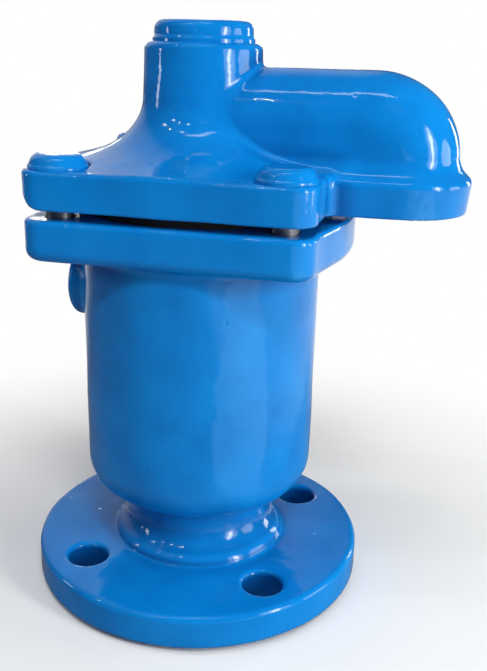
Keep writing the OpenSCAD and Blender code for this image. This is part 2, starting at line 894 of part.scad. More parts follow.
module orifice_pad() {
    color(rubber) translate([0, 0, z_pad - pad_proud - pad_sink]) cylinder(pad_proud + pad_sink, r = pad_r);
}

body();
cover();
cover_gasket();
cover_bolts();
tower_plug();
plug_seal();
stem_bush();
seat_ring();
cage_ring();
tie_rods();
upper_spacers();
lower_spacers();
shutter_shelf();
cage_floor();
rod_nuts();
test_plug();
outlet_screen();
screen_clip();
shutter_disc();
shutter_seal();
seal_clamp();
shutter_stem();
stem_nut();
nozzle();
yoke();
yoke_screws();
float_top();
float_bottom();
pad_holder();
orifice_pad();
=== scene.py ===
import json

import bpy
import numpy as np
from mathutils import Matrix


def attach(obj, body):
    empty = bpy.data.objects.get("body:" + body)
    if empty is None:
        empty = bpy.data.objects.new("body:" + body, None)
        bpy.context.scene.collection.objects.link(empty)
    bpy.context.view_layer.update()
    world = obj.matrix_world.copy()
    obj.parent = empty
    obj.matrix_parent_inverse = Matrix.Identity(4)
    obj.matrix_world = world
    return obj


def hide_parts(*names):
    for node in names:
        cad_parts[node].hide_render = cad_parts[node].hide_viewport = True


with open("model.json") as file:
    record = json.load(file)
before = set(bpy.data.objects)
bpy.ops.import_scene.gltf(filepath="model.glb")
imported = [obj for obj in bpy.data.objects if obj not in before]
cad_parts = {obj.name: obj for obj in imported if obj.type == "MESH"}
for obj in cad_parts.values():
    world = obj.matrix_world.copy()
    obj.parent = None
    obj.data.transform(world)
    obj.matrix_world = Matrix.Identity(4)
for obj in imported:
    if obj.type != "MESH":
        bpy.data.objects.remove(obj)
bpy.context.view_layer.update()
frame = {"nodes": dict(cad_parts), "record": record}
scene = bpy.context.scene
scene.view_settings.view_transform = "Standard"
millimetre = 0.001
print("frame loaded:", len(frame["nodes"]), "nodes")

# Fields: a field is a signed distance in millimetres, negative inside


def roundJoin(a, b, r):
    # union with a concave fillet: near both, r less the hypotenuse of what each distance lacks of r
    return np.maximum(r, np.minimum(a, b)) - np.hypot(np.maximum(r - a, 0), np.maximum(r - b, 0))


def roundMeet(a, b, r):
    # intersection with a convex edge: near both, the hypotenuse of what each has over -r, less r
    return np.minimum(-r, np.maximum(a, b)) + np.hypot(np.maximum(r + a, 0), np.maximum(r + b, 0))


def roundCut(a, b, r):
    # a without b, the rim rounded by r
    return roundMeet(a, -b, r)


def band(v, low, high):
    # the larger of what v lacks of low and what it has over high
    return np.maximum(low - v, v - high)


def cornerDistance(u, v):
    # the larger of u and v, or their hypotenuse past the corner where both are positive
    return np.hypot(np.maximum(u, 0), np.maximum(v, 0)) + np.minimum(np.maximum(u, v), 0)


def roundSquare(x, y, half, corner):
    # distance from the square through the centres of the corner arcs, less their radius
    return cornerDistance(np.abs(x) - half + corner, np.abs(y) - half + corner) - corner


def fromFour(x, y, offset):
    # distance from the nearest of four upright lines at plus or minus offset in x and y
    return np.hypot(np.abs(x) - offset, np.abs(y) - offset)


def slabField(plan, z, low, high, lowEdge, highEdge):
    # plan field carried from low to high, with its own rounding at each end
    edge = np.where(z < (low + high) / 2, lowEdge, highEdge)
    return roundMeet(plan, band(z, low, high), edge)


# slow waves of a sand casting under thick paint: one row for each wave
sandWaves = (
    {"rate": 0.16, "sway": 1.7, "swayRate": 0.09, "shift": 0.4},
    {"rate": 0.19, "sway": 1.3, "swayRate": 0.11, "shift": 0.0},
    {"rate": 0.13, "sway": 1.1, "swayRate": 0.12, "shift": 2.0},
)


def unevenness(x, y, z, depth):
    # sum of sin(rate u + sway sin(swayRate v + shift)), u along one axis and v along another
    total = 0
    for w, u, v in zip(sandWaves, (x, y, z), (z, x, y)):
        total = total + np.sin(w["rate"] * u + w["sway"] * np.sin(w["swayRate"] * v + w["shift"]))
    return depth * total


# Surface of a field: one point in each grid cell that it crosses, one quad round each grid edge

# the steps outwards, in mm, at the end of this table set how far the painted corner shade reaches
meshing = {"slopeStep": 0.04, "rounds": 3, "leastSlope": 0.2, "mostMove": 0.5, "shadeSteps": (15, 20)}


def fieldSlope(field, points):
    # difference of the field a small step either way along each axis, over the two steps
    step = meshing["slopeStep"]
    slope = np.empty_like(points)
    for axis in range(3):
        offset = np.zeros(3)
        offset[axis] = step
        slope[:, axis] = (field(*(points + offset).T) - field(*(points - offset).T)) / (2 * step)
    return slope


def cellPoints(value, cells, corners):
    # mean of the places where the surface crosses a cell's edges, in grid steps
    total = np.zeros((len(cells), 3))
    hits = np.zeros((len(cells), 1))
    for start in corners:
        for axis in np.flatnonzero(start == 0):
            end = start + np.eye(3, dtype=int)[axis]
            a = value[tuple((cells + start).T)]
            b = value[tuple((cells + end).T)]
            crosses = (a < 0) != (b < 0)
            share = np.where(crosses, a / np.where(crosses, a - b, 1), 0)
            point = cells + start + share[:, None] * (end - start)
            total += np.where(crosses[:, None], point, 0)
            hits += crosses[:, None]
    return total / hits


def cellQuads(inside, index):
    # the four cells about each crossed grid edge, in the order that faces outwards
    quads = []
    for axis in range(3):
        u, v = (axis + 1) % 3, (axis + 2) % 3
        head = [slice(1, -1)] * 3
        tail = [slice(1, -1)] * 3
        head[axis] = slice(0, -1)
        tail[axis] = slice(1, None)
        before = inside[tuple(head)]
        after = inside[tuple(tail)]
        node = np.argwhere(before != after)
        node[:, u] += 1
        node[:, v] += 1
        ring = []
        for du, dv in ((1, 1), (0, 1), (0, 0), (1, 0)):
            near = node.copy()
            near[:, u] -= du
            near[:, v] -= dv
            ring.append(index[tuple(near.T)])
        quad = np.stack(ring, axis=1)
        outward = before[before != after]
        quads.append(np.where(outward[:, None], quad, quad[:, ::-1]))
    return np.concatenate(quads)


def settle(field, points, most):
    # moves points along the slope by value over slope squared, by no more than most each round
    for turn in range(meshing["rounds"]):
        slope = fieldSlope(field, points)
        reach = np.maximum((slope ** 2).sum(axis=1), meshing["leastSlope"])
        move = (field(*points.T) / reach)[:, None] * slope
        points = points - np.clip(move, -most, most)
    return points


def paintedShade(field, points, normals):
    # painted shade in corners, holes and under overhangs: the share of a step outwards that isn't gained
    # in clear distance
    cornerShade = np.zeros(len(points))
    steps = meshing["shadeSteps"]
    for step in steps:
        clear = field(*(points + step * normals).T)
        cornerShade += np.clip(1 - clear / step, 0, 1) / len(steps)
    return cornerShade


def fieldSurface(field, low, high, cell):
    low = np.array(low, float)
    axes = [np.arange(low[i], high[i] + cell, cell) for i in range(3)]
    value = field(*np.meshgrid(*axes, indexing="ij"))
    inside = value < 0
    size = np.array(value.shape) - 1
    corners = [np.array(c) for c in np.ndindex(2, 2, 2)]
    boxes = [tuple(slice(c[i], c[i] + size[i]) for i in range(3)) for c in corners]
    count = sum(inside[box].astype(int) for box in boxes)
    mixed = (count > 0) & (count < len(corners))
    cells = np.argwhere(mixed)
    index = np.full(mixed.shape, -1)
    index[mixed] = np.arange(len(cells))
    points = low + cell * cellPoints(value, cells, corners)
    points = settle(field, points, meshing["mostMove"] * cell)
    slope = fieldSlope(field, points)
    normals = slope / np.maximum(np.linalg.norm(slope, axis=1), 1e-9)[:, None]
    return points, cellQuads(inside, index), normals, paintedShade(field, points, normals)


def addPiece(name, points, quads, normals, cornerShade, material, body, slot, nodes):
    mesh = bpy.data.meshes.new(name)
    mesh.from_pydata(points * millimetre, (), quads)
    mesh.polygons.foreach_set("use_smooth", np.ones(len(quads), bool))
    mesh.normals_split_custom_set_from_vertices(normals)
    # painted shade in corners and hollows, kept on the points for the enamel
    shadeAttribute = mesh.attributes.new("paintedShade", "FLOAT", "POINT")
    shadeAttribute.data.foreach_set("value", cornerShade.astype(np.float32))
    mesh.materials.append(material)
    piece = bpy.data.objects.new(name, mesh)
    scene.collection.objects.link(piece)
    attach(piece, body)
    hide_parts(*nodes)
    print(name, len(points), "points", 2 * len(quads), "triangles")


# Node helpers


def newMaterial(name):
    material = bpy.data.materials.new(name)
    material.use_nodes = True
    return material, material.node_tree, material.node_tree.nodes["Principled BSDF"]


def addNode(tree, kind, **values):
    # a value goes to the node's own setting of that name, or else to its input
    node = tree.nodes.new(kind)
    for key, value in values.items():
        if hasattr(node, key):
            setattr(node, key, value)
        else:
            node.inputs[key.replace("_", " ").title()].default_value = value
    return node


def grey(level):
    return (level, level, level, 1)


def colourRamp(tree, source, places, colours):
    ramp = addNode(tree, "ShaderNodeValToRGB")
    first, last = ramp.color_ramp.elements[0], ramp.color_ramp.elements[1]
    first.position, first.color = places[0], colours[0]
    last.position, last.color = places[-1], colours[-1]
    for place, colour in zip(places[1:-1], colours[1:-1]):
        ramp.color_ramp.elements.new(place).color = colour
    tree.links.new(source, ramp.inputs["Fac"])
    return ramp.outputs["Color"]


def smoothRange(tree, source, edge, top=1.0):
    # 0 below the edge's first value, top above its second
    node = addNode(tree, "ShaderNodeMapRange", interpolation_type="SMOOTHSTEP",
                   from_min=edge[0], from_max=edge[1], to_max=top)
    tree.links.new(source, node.inputs["Value"])
    return node.outputs["Result"]


def bumpChain(tree, shader, layers):
    # each layer is a height output, a distance in metres and a strength
    previous = None
    for height, distance, strength in layers:
        bump = addNode(tree, "ShaderNodeBump", distance=distance, strength=strength)
        tree.links.new(height, bump.inputs["Height"])
        if previous is not None:
            tree.links.new(previous, bump.inputs["Normal"])
        previous = bump.outputs["Normal"]
    tree.links.new(previous, shader.inputs["Normal"])


def linkedMath(tree, operation, a, b):
    node = addNode(tree, "ShaderNodeMath", operation=operation)
    for source, socket in zip((a, b), node.inputs):
        if isinstance(source, float):
            socket.default_value = source
        else:
            tree.links.new(source, socket)
    return node.outputs["Value"]


def noise(tree, coordinates, scale, detail):
    node = addNode(tree, "ShaderNodeTexNoise", scale=scale, detail=detail, roughness=0.5)
    tree.links.new(coordinates, node.inputs["Vector"])
    return node.outputs["Fac"]


def objectCoordinates(tree):
    return addNode(tree, "ShaderNodeTexCoord").outputs["Object"]


def splitAxes(tree, place):
    node = addNode(tree, "ShaderNodeSeparateXYZ")
    tree.links.new(place, node.inputs["Vector"])
    return node.outputs


def mirrorRays(tree, rays):
    return linkedMath(tree, "MAXIMUM", rays.outputs["Is Glossy Ray"], rays.outputs["Is Transmission Ray"])


# Materials: bump depths and the dull band are in metres

enamel = {
    "blues": ((0.0015, 0.166, 0.530, 1), (0.0020, 0.198, 0.605, 1), (0.0030, 0.226, 0.655, 1)),
    "cloudScale": 38, "cloudDetail": 3, "cloudPlaces": (0.3, 0.5, 0.72),
    # the first colour below is the painted corner shade at full strength, ramped over the places after it
    "shadeColour": (0.4, 0.36, 0.48, 1), "shadePlaces": (0.2, 0.9),
    "roughness": 0.08, "dullness": 0.28, "dullBand": (0.029, 0.037, 0.060, 0.078), "dullSpan": 0.1,
    "index": 1.34,
    "waveScale": 55, "waveDetail": 2, "waveDepth": 0.0005,
    "peelScale": 330, "peelDetail": 1, "peelDepth": 0.00006,
    "pitScale": 95, "pitPlaces": (0.0, 0.13), "pitDepth": 0.00016,
}


def enamelMaterial():
    e = enamel
    material, tree, shader = newMaterial("glossyEnamel")
    place = objectCoordinates(tree)
    cloud = noise(tree, place, e["cloudScale"], e["cloudDetail"])
    coat = colourRamp(tree, cloud, e["cloudPlaces"], e["blues"])
    # painted shade: the coat darker in corners, holes and under overhangs
    cornerShade = addNode(tree, "ShaderNodeAttribute", attribute_name="paintedShade")
    shadeRamp = colourRamp(tree, cornerShade.outputs["Fac"], e["shadePlaces"], (grey(1), e["shadeColour"]))
    shadedCoat = addNode(tree, "ShaderNodeMix", data_type="RGBA", blend_type="MULTIPLY")
    shadedCoat.inputs["Factor"].default_value = 1.0
    tree.links.new(coat, shadedCoat.inputs[6])
    tree.links.new(shadeRamp, shadedCoat.inputs[7])
    tree.links.new(shadedCoat.outputs[2], shader.inputs["Base Color"])
    # spray reaches the neck and the underside of the bowl badly, so the coat is duller there
    height = linkedMath(tree, "MULTIPLY", splitAxes(tree, place)["Z"], 1 / e["dullSpan"])
    heights = [z / e["dullSpan"] for z in e["dullBand"]]
    levels = [grey(e[key]) for key in ("roughness", "dullness", "dullness", "roughness")]
    tree.links.new(colourRamp(tree, height, heights, levels), shader.inputs["Roughness"])
    shader.inputs["IOR"].default_value = e["index"]
    waves = noise(tree, place, e["waveScale"], e["waveDetail"])
    peel = noise(tree, place, e["peelScale"], e["peelDetail"])
    pits = addNode(tree, "ShaderNodeTexVoronoi", scale=e["pitScale"])
    tree.links.new(place, pits.inputs["Vector"])
    pit = colourRamp(tree, pits.outputs["Distance"], e["pitPlaces"], (grey(0), grey(1)))
    layers = [(waves, e["waveDepth"], 1.0), (peel, e["peelDepth"], 1.0), (pit, e["pitDepth"], 1.0)]
    bumpChain(tree, shader, layers)
    return material


metals = {
    "brushedSteel": {"colour": (0.56, 0.57, 0.59), "roughness": 0.32, "stretch": 6},
    # a darker copy of the steel: painted shade for the shanks in the dark joint gap
    "shadedSteel": {"colour": (0.16, 0.17, 0.19), "roughness": 0.45, "stretch": 4},
    "machinedBronze": {"colour": (0.60, 0.40, 0.19), "roughness": 0.30, "stretch": 5},
}
turning = {
    "scale": 180, "detail": 4, "places": (0.3, 0.7), "dark": 0.78, "light": 1.1,
    "rougher": 0.1, "smoother": 0.06, "depth": 0.00006, "strength": 0.6,
}


def metalMaterial(name):
    # fine rings left by turning and brushing
    m, t = metals[name], turning
    material, tree, shader = newMaterial(name)
    stretch = addNode(tree, "ShaderNodeMapping")
    stretch.inputs["Scale"].default_value = (1, 1, m["stretch"])
    tree.links.new(objectCoordinates(tree), stretch.inputs["Vector"])
    grain = noise(tree, stretch.outputs["Vector"], t["scale"], t["detail"])
    dark = tuple(t["dark"] * c for c in m["colour"]) + (1,)
    light = tuple(min(t["light"] * c, 1) for c in m["colour"]) + (1,)
    tree.links.new(colourRamp(tree, grain, t["places"], (dark, light)), shader.inputs["Base Color"])
    shader.inputs["Metallic"].default_value = 1.0
    levels = (grey(m["roughness"] + t["rougher"]), grey(m["roughness"] - t["smoother"]))
    tree.links.new(colourRamp(tree, grain, t["places"], levels), shader.inputs["Roughness"])
    bumpChain(tree, shader, [(grain, t["depth"], t["strength"])])
    return material


moulded = {
    "dark": (0.005, 0.005, 0.006, 1), "light": (0.011, 0.011, 0.012, 1), "places": (0.3, 0.7),
    "scale": 240, "detail": 4, "roughness": 0.7, "specular": 0.25, "depth": 0.00012, "strength": 0.7,
}


def rubberMaterial():
    m = moulded
    material, tree, shader = newMaterial("blackRubber")
    mottle = noise(tree, objectCoordinates(tree), m["scale"], m["detail"])
    black = colourRamp(tree, mottle, m["places"], (m["dark"], m["light"]))
    tree.links.new(black, shader.inputs["Base Color"])
    shader.inputs["Roughness"].default_value = m["roughness"]
    shader.inputs["Specular IOR Level"].default_value = m["specular"]
    bumpChain(tree, shader, [(mottle, m["depth"], m["strength"])])
    return material


paint = enamelMaterial()
steel = metalMaterial("brushedSteel")
shadedSteel = metalMaterial("shadedSteel")
bronze = metalMaterial("machinedBronze")
rubber = rubberMaterial()
looks = {"enamel": paint, "steel": steel, "bronze": bronze, "rubber": rubber}
for part in frame["record"]["subparts"]:
    node = frame["nodes"][part["node"]]
    node.data.materials.clear()
    node.data.materials.append(looks[part["material_slot"]])
print("materials ready")

# Body casting

body = {
    "flangeR": 82.5, "flangeLow": 3.0, "flangeHigh": 19.0, "rimLow": 1.5, "rimHigh": 3.0,
    "faceR": 49.5, "faceHigh": 15.0, "faceEdge": 0.8,
    "hubR": 42.4, "hubLow": 5.0, "hubHigh": 22.5, "hubEdge": 3.0, "hubFoot": 1.6, "hubFillet": 14.0,
    "neckR": 33.0, "neckLow": 16.0, "neckHigh": 67.5, "neckFillet": 5.0,
    "barrelR": 56.0, "barrelHigh": 184.4, "bowlLow": 47.5, "bowlR": 17.0, "wall": 7.0,
    "squareLow": 170.2, "squareHigh": 188.4, "squareHalf": 63.0, "corner": 10.0,
    "lowEdge": 5.0, "highEdge": 2.0, "squareFillet": 4.0,
    "lobeR": 70.0, "lobeBlend": 14.0, "lobeSide": (0.57, 0.82),
    "portZ": 147.0, "portR": 17.0, "portReach": 63.2, "portEdge": 3.0, "portFillet": 3.5,
    "portBoreR": 10.5, "portRim": 1.2,
    "waveDepth": 0.07, "waveFade": 8.0,
    "boreR": 25.0, "boreRim": 0.8, "cageSeatR": 51.1, "cageSeatLow": 184.4,
    "holeCircleR": 62.5, "holeR": 9.5, "holeRim": 2.2, "holeHigh": 31.0,
    "boltXY": 49.0, "boltHoleR": 6.2, "boltHoleLow": 173.4,
    "gridLow": (-85, -85, -3), "gridHigh": (85, 85, 192), "cell": 1.515,
}


def bodyField(x, y, z):
    # flange, face, hub, neck, barrel, square flange and boss joined by fillets, less the bores and holes
    b = body
    r = np.hypot(x, y)
    flange = slabField(r - b["flangeR"], z, b["flangeLow"], b["flangeHigh"], b["rimLow"], b["rimHigh"])
    face = roundMeet(r - b["faceR"], band(z, 0, b["faceHigh"]), b["faceEdge"])
    hub = roundMeet(r - b["hubR"], band(z, b["hubLow"], b["hubHigh"]), b["hubEdge"])
    neck = np.maximum(r - b["neckR"], band(z, b["neckLow"], b["neckHigh"]))
    barrel = roundMeet(r - b["barrelR"], b["bowlLow"] - z, b["bowlR"])
    barrel = np.maximum(barrel, z - b["barrelHigh"])
    base = roundJoin(np.minimum(flange, face), hub, b["hubFoot"])
    base = roundJoin(base, neck, b["hubFillet"])
    vessel = roundJoin(base, barrel, b["neckFillet"])
    # the square flange bulges round the barrel on the outlet's side
    lobeX, lobeY = b["lobeSide"]
    lobe = np.maximum(r - b["lobeR"], lobeY * np.abs(y) - lobeX * x)
    plan = roundJoin(roundSquare(x, y, b["squareHalf"], b["corner"]), lobe, b["lobeBlend"])
    square = slabField(plan, z, b["squareLow"], b["squareHigh"], b["lowEdge"], b["highEdge"])
    portR = np.hypot(y, z - b["portZ"])
    boss = roundMeet(portR - b["portR"], np.maximum(-x - b["portReach"], x), b["portEdge"])
    shape = roundJoin(roundJoin(vessel, square, b["squareFillet"]), boss, b["portFillet"])
    # the waves die away towards the machined sealing face
    shape = shape + unevenness(x, y, z, b["waveDepth"]) * np.clip(z / b["waveFade"], 0, 1)
    floorZ = b["bowlLow"] + b["wall"]
    hollow = roundMeet(r - b["barrelR"] + b["wall"], floorZ - z, b["bowlR"] - b["wall"])
    bore = np.minimum(hollow, r - b["boreR"])
    bore = np.minimum(bore, np.maximum(r - b["cageSeatR"], b["cageSeatLow"] - z))
    shape = roundCut(shape, bore, b["boreRim"])
    hole = fromFour(x, y, b["holeCircleR"] / np.sqrt(2)) - b["holeR"]
    shape = roundCut(shape, np.maximum(hole, z - b["holeHigh"]), b["holeRim"])
    shape = roundCut(shape, np.maximum(portR - b["portBoreR"], x), b["portRim"])
    bolt = fromFour(x, y, b["boltXY"]) - b["boltHoleR"]
    return np.maximum(shape, -np.maximum(bolt, b["boltHoleLow"] - z))


surface = fieldSurface(bodyField, body["gridLow"], body["gridHigh"], body["cell"])
addPiece("bodyCasting", *surface, paint, "valve", "enamel", ["body"])

# Cover casting

cover = {
    "low": 192.4, "deck": 209.0, "half": 63.0, "corner": 10.0,
    "lowEdge": 1.4, "highEdge": 2.2, "heelR": 12.0,
    "crownZ": 213.0, "crownR": 52.0, "crownRim": 61.5, "crownEdge": 4.0, "crownReach": 66.0,
    "crownHalf": 61.5, "crownFillet": 2.0, "rootLow": 200.4,
    "towerR": 27.0, "towerTopR": 26.2, "towerFoot": 240.0, "towerFillet": 27.0,
    "shoulder": 260.5, "shoulderEdge": 3.0,
    "ductR": 23.5, "ductLow": 201.4, "ductWall": 6.0, "ductFillet": 2.4,
    "bendX": 78.0, "bendZ": 214.0, "bendR": 13.5,
    "outletX": 91.5, "lipR": 29.7, "lipDraft": 1.5, "lipHigh": 207.2, "lipRise": 5.6, "lipFlat": 0.5,
    "lipStart": 40.0, "lipEdge": 1.3, "lipFoot": 1.0, "lipNeck": 3.0, "lipFillet": 5.0, "filletRise": 8.0,
    "waveShift": 40.0, "waveDepth": 0.06,
    "seatR": 34.1, "seatHigh": 199.4, "bellR": 28.0, "bellRise": 18.0, "boreR": 19.5, "boreRim": 0.8,
    "plugR": 17.6, "plugLow": 246.5, "floor": 205.8, "mouthR": 22.5,
    "clipR": 23.3, "clipLow": 202.8, "clipHigh": 204.3,
    "boltXY": 49.0, "boltHoleR": 6.8, "spotR": 13.4, "spotRim": 0.9,
    "gridLow": (-66, -66, 190), "gridHigh": (124, 66, 264), "cell": 1.08,
}


def coverField(x, y, z):
    # square flange, crown, flared tower, bent duct and lip joined by fillets, less the passages and holes
    c = cover
    r = np.hypot(x, y)
    plan = roundSquare(x, y, c["half"], c["corner"])
    square = slabField(plan, z, c["low"], c["deck"], c["lowEdge"], c["highEdge"])
    # round heel under the side away from the outlet
    square = np.maximum(square, roundMeet(-x - c["half"], c["low"] - z, c["heelR"]))
    # crown: flat to crownR, then a slope down to the deck at crownRim
    fall = (c["crownZ"] - c["deck"]) / (c["crownRim"] - c["crownR"])
    slope = (z - c["crownZ"] + fall * (r - c["crownR"])) / np.hypot(1, fall)
    crown = np.maximum(roundMeet(z - c["crownZ"], slope, c["crownEdge"]), c["rootLow"] - z)
    crown = np.maximum(crown, r - c["crownReach"])
    crown = np.maximum(crown, roundSquare(x, y, c["crownHalf"], c["corner"]))
    taper = (c["towerR"] - c["towerTopR"]) / (c["shoulder"] - c["towerFoot"])
    wall = r - c["towerR"] + taper * (z - c["towerFoot"])
    tower = roundMeet(wall, band(z, c["rootLow"], c["shoulder"]), c["shoulderEdge"])
    flared = roundJoin(roundJoin(square, crown, c["crownFillet"]), tower, c["towerFillet"])
    # duct: every point within ductR of the upright sheet under the bent centreline
    past = cornerDistance(x - c["bendX"], z - c["bendZ"]) - c["bendR"]
    pipe = np.hypot(np.maximum(past, 0), y)
    duct = np.maximum(np.maximum(pipe - c["ductR"], -x), c["ductLow"] - z)
    # lip: round end with a drafted side and a top that slopes up to the duct
    across = np.hypot(np.maximum(x - c["outletX"], 0), y)
    side = across - c["lipR"] + c["lipDraft"] * (c["lipHigh"] - z) / (c["lipHigh"] - c["low"])
    pitch = c["lipRise"] / (c["lipR"] - c["ductR"])
    top = (z - c["lipHigh"] + pitch * (across - c["lipR"] + c["lipFlat"])) / np.hypot(1, pitch)
    lip = roundMeet(side, top, c["lipEdge"])
    lip = roundMeet(lip, np.maximum(c["low"] - z, c["lipStart"] - x), c["lipFoot"])
    outlet = roundJoin(duct, lip, c["lipNeck"])
    # a wide fillet beside the flange, a tight one where the duct meets the tower; flat joint face below
    fillet = np.interp(z, (c["deck"], c["deck"] + c["filletRise"]), (c["lipFillet"], c["ductFillet"]))
    shape = np.maximum(roundJoin(flared, outlet, fillet), c["low"] - z)
    shape = shape + unevenness(x + c["waveShift"], y, z, c["waveDepth"])
    seat = np.maximum(r - c["seatR"], z - c["seatHigh"])
    bellR = c["bellR"] - (z - c["crownZ"]) * (c["bellR"] - c["boreR"]) / c["bellRise"]
    bell = np.maximum(r - np.clip(bellR, c["boreR"], c["bellR"]), z - c["plugLow"])
    hollow = np.minimum(np.minimum(seat, bell), r - c["plugR"])
    passage = np.maximum(np.maximum(pipe - c["ductR"] + c["ductWall"], -x), c["floor"] - z)
    outR = np.hypot(x - c["outletX"], y)
    mouth = np.maximum(outR - c["mouthR"], z - c["floor"])
    groove = np.maximum(outR - c["clipR"], band(z, c["clipLow"], c["clipHigh"]))
    hollow = np.minimum(np.minimum(hollow, passage), np.minimum(mouth, groove))
    shape = roundCut(shape, hollow, c["boreRim"])
    bolt = fromFour(x, y, c["boltXY"])
    shape = roundCut(shape, np.maximum(bolt - c["spotR"], c["deck"] - z), c["spotRim"])
    return np.maximum(shape, c["boltHoleR"] - bolt)


surface = fieldSurface(coverField, cover["gridLow"], cover["gridHigh"], cover["cell"])
addPiece("coverCasting", *surface, paint, "valve", "enamel", ["cover"])

# Cover bolts: low round heads under paint, bare shanks in the joint

bolts = {
    "xy": 49.0, "baseR": 12.5, "lean": 0.42, "low": 207.9, "high": 215.0, "edge": 2.6,
    "skirtR": 12.7, "skirtHigh": 210.0, "skirtEdge": 0.35, "skirtFillet": 1.0,
    "waveScale": 1.7, "waveDepth": 0.05,
    "shankR": 6.0, "shankLow": 174.4, "shankHigh": 208.0, "shankEdge": 0.5,
    "headGrid": ((-17, -17, 203), (17, 17, 217)), "shankGrid": ((-8, -8, 172), (8, 8, 211)), "cell": 0.71,
}


def headField(x, y, z):
    # round-edged cone on a thin skirt
    k = bolts
    r = np.hypot(x, y)
    cone = (r - k["baseR"] + k["lean"] * (z - k["skirtHigh"])) / np.hypot(1, k["lean"])
    head = roundMeet(cone, band(z, k["low"], k["high"]), k["edge"])
    skirt = roundMeet(r - k["skirtR"], band(z, k["low"], k["skirtHigh"]), k["skirtEdge"])
    waves = unevenness(k["waveScale"] * x, k["waveScale"] * y, z, k["waveDepth"])
    return roundJoin(head, skirt, k["skirtFillet"]) + waves


def shankField(x, y, z):
    # round-edged cylinder
    k = bolts
    return roundMeet(np.hypot(x, y) - k["shankR"], band(z, k["shankLow"], k["shankHigh"]), k["shankEdge"])


def atCorners(points, quads, normals, cornerShade):
    # the same surface at the four bolt places
    places = bolts["xy"] * np.array([(1, 1, 0), (-1, 1, 0), (-1, -1, 0), (1, -1, 0)])
    moved = np.concatenate([points + place for place in places])
    faces = np.concatenate([quads + i * len(points) for i in range(4)])
    return moved, faces, np.tile(normals, (4, 1)), np.tile(cornerShade, 4)


surface = fieldSurface(headField, *bolts["headGrid"], bolts["cell"])
addPiece("boltHeads", *atCorners(*surface), paint, "valve", "enamel", ["cover_bolts"])
surface = fieldSurface(shankField, *bolts["shankGrid"], bolts["cell"])
# the shanks take the darkened steel, painted shade of the joint gap
addPiece("boltShanks", *atCorners(*surface), shadedSteel, "valve", "steel", ["cover_bolts"])

# Tower plug: round cap with two spanner holes, a bead of paint over its seal

plug = {
    "capR": 22.1, "capLow": 261.0, "capHigh": 269.4, "capLean": 0.06, "capEdge": 3.2,
    "beadR": 22.7, "beadLow": 258.8, "beadHigh": 262.6, "beadEdge": 0.9, "beadFillet": 1.2,
    "stubR": 17.4, "stubLow": 246.0, "stubHigh": 264.0, "waveShift": 9.0, "waveDepth": 0.05,
    "bushR": 8.0, "bushHigh": 256.0, "guideR": 5.6, "guideHigh": 266.0,
    "spannerX": 12.0, "spannerR": 2.5, "spannerDepth": 5.0, "spannerRim": 0.6,
    "gridLow": (-24, -24, 244), "gridHigh": (24, 24, 272), "cell": 0.75,
}


def plugField(x, y, z):
    # drafted cap, bead and stub, less the stem's bores and the spanner holes
    k = plug
    r = np.hypot(x, y)
    capSide = r - k["capR"] + k["capLean"] * (z - k["capLow"])
    cap = roundMeet(capSide, band(z, k["capLow"], k["capHigh"]), k["capEdge"])
    bead = roundMeet(r - k["beadR"], band(z, k["beadLow"], k["beadHigh"]), k["beadEdge"])
    stub = np.maximum(r - k["stubR"], band(z, k["stubLow"], k["stubHigh"]))
    shape = np.minimum(roundJoin(cap, bead, k["beadFillet"]), stub)
    shape = shape + unevenness(x + k["waveShift"], y, z, k["waveDepth"])
    # below, the seat of the stem bush; above it, the stem's way up
    seat = np.maximum(r - k["bushR"], z - k["bushHigh"])
    guide = np.maximum(r - k["guideR"], z - k["guideHigh"])
    shape = np.maximum(shape, -np.minimum(seat, guide))
    spanner = np.hypot(np.abs(x) - k["spannerX"], y) - k["spannerR"]
    return roundCut(shape, np.maximum(spanner, k["capHigh"] - k["spannerDepth"] - z), k["spannerRim"])


surface = fieldSurface(plugField, plug["gridLow"], plug["gridHigh"], plug["cell"])
addPiece("towerCap", *surface, paint, "valve", "enamel", ["tower_plug", "plug_seal"])

# Camera at the photograph's angle: turned about the axis, raised, rolled a little


def placed(right, up, back, place):
    # matrix whose columns are an object's three axes and its place
    matrix = np.eye(4)
    matrix[:3] = np.stack([right, up, back, place], axis=1)
    return Matrix(matrix.tolist())


view = {
    "azimuth": 13.30, "elevation": 18.74, "roll": 1.51,
    "distance": 423.27, "sideways": 20.82, "height": 124.05,
    "focalPixels": 858.6, "longSide": 671, "sensor": 36.0, "nearest": 0.01,
}


def addCamera():
    az, el, roll = np.radians([view["azimuth"], view["elevation"], view["roll"]])
    back = np.array([np.sin(az) * np.cos(el), -np.cos(az) * np.cos(el), np.sin(el)])
    right = np.array([np.cos(az), np.sin(az), 0])
    up = np.cross(back, right)
    turned = np.cos(roll) * right + np.sin(roll) * up
    raised = np.cos(roll) * up - np.sin(roll) * right
    place = np.array([0, 0, view["height"]]) + right * view["sideways"] + back * view["distance"]
    data = bpy.data.cameras.new("photoCamera")
    data.sensor_fit = "AUTO"
    data.sensor_width = view["sensor"]
    data.lens = view["focalPixels"] * view["sensor"] / view["longSide"]
    data.clip_start = view["nearest"]
    camera = bpy.data.objects.new("photoCamera", data)
    camera.matrix_world = placed(turned, raised, back, place * millimetre)
    scene.collection.objects.link(camera)
    scene.camera = camera


addCamera()
print("camera set")

# Light: place, aim and size in metres, power in watts, colour

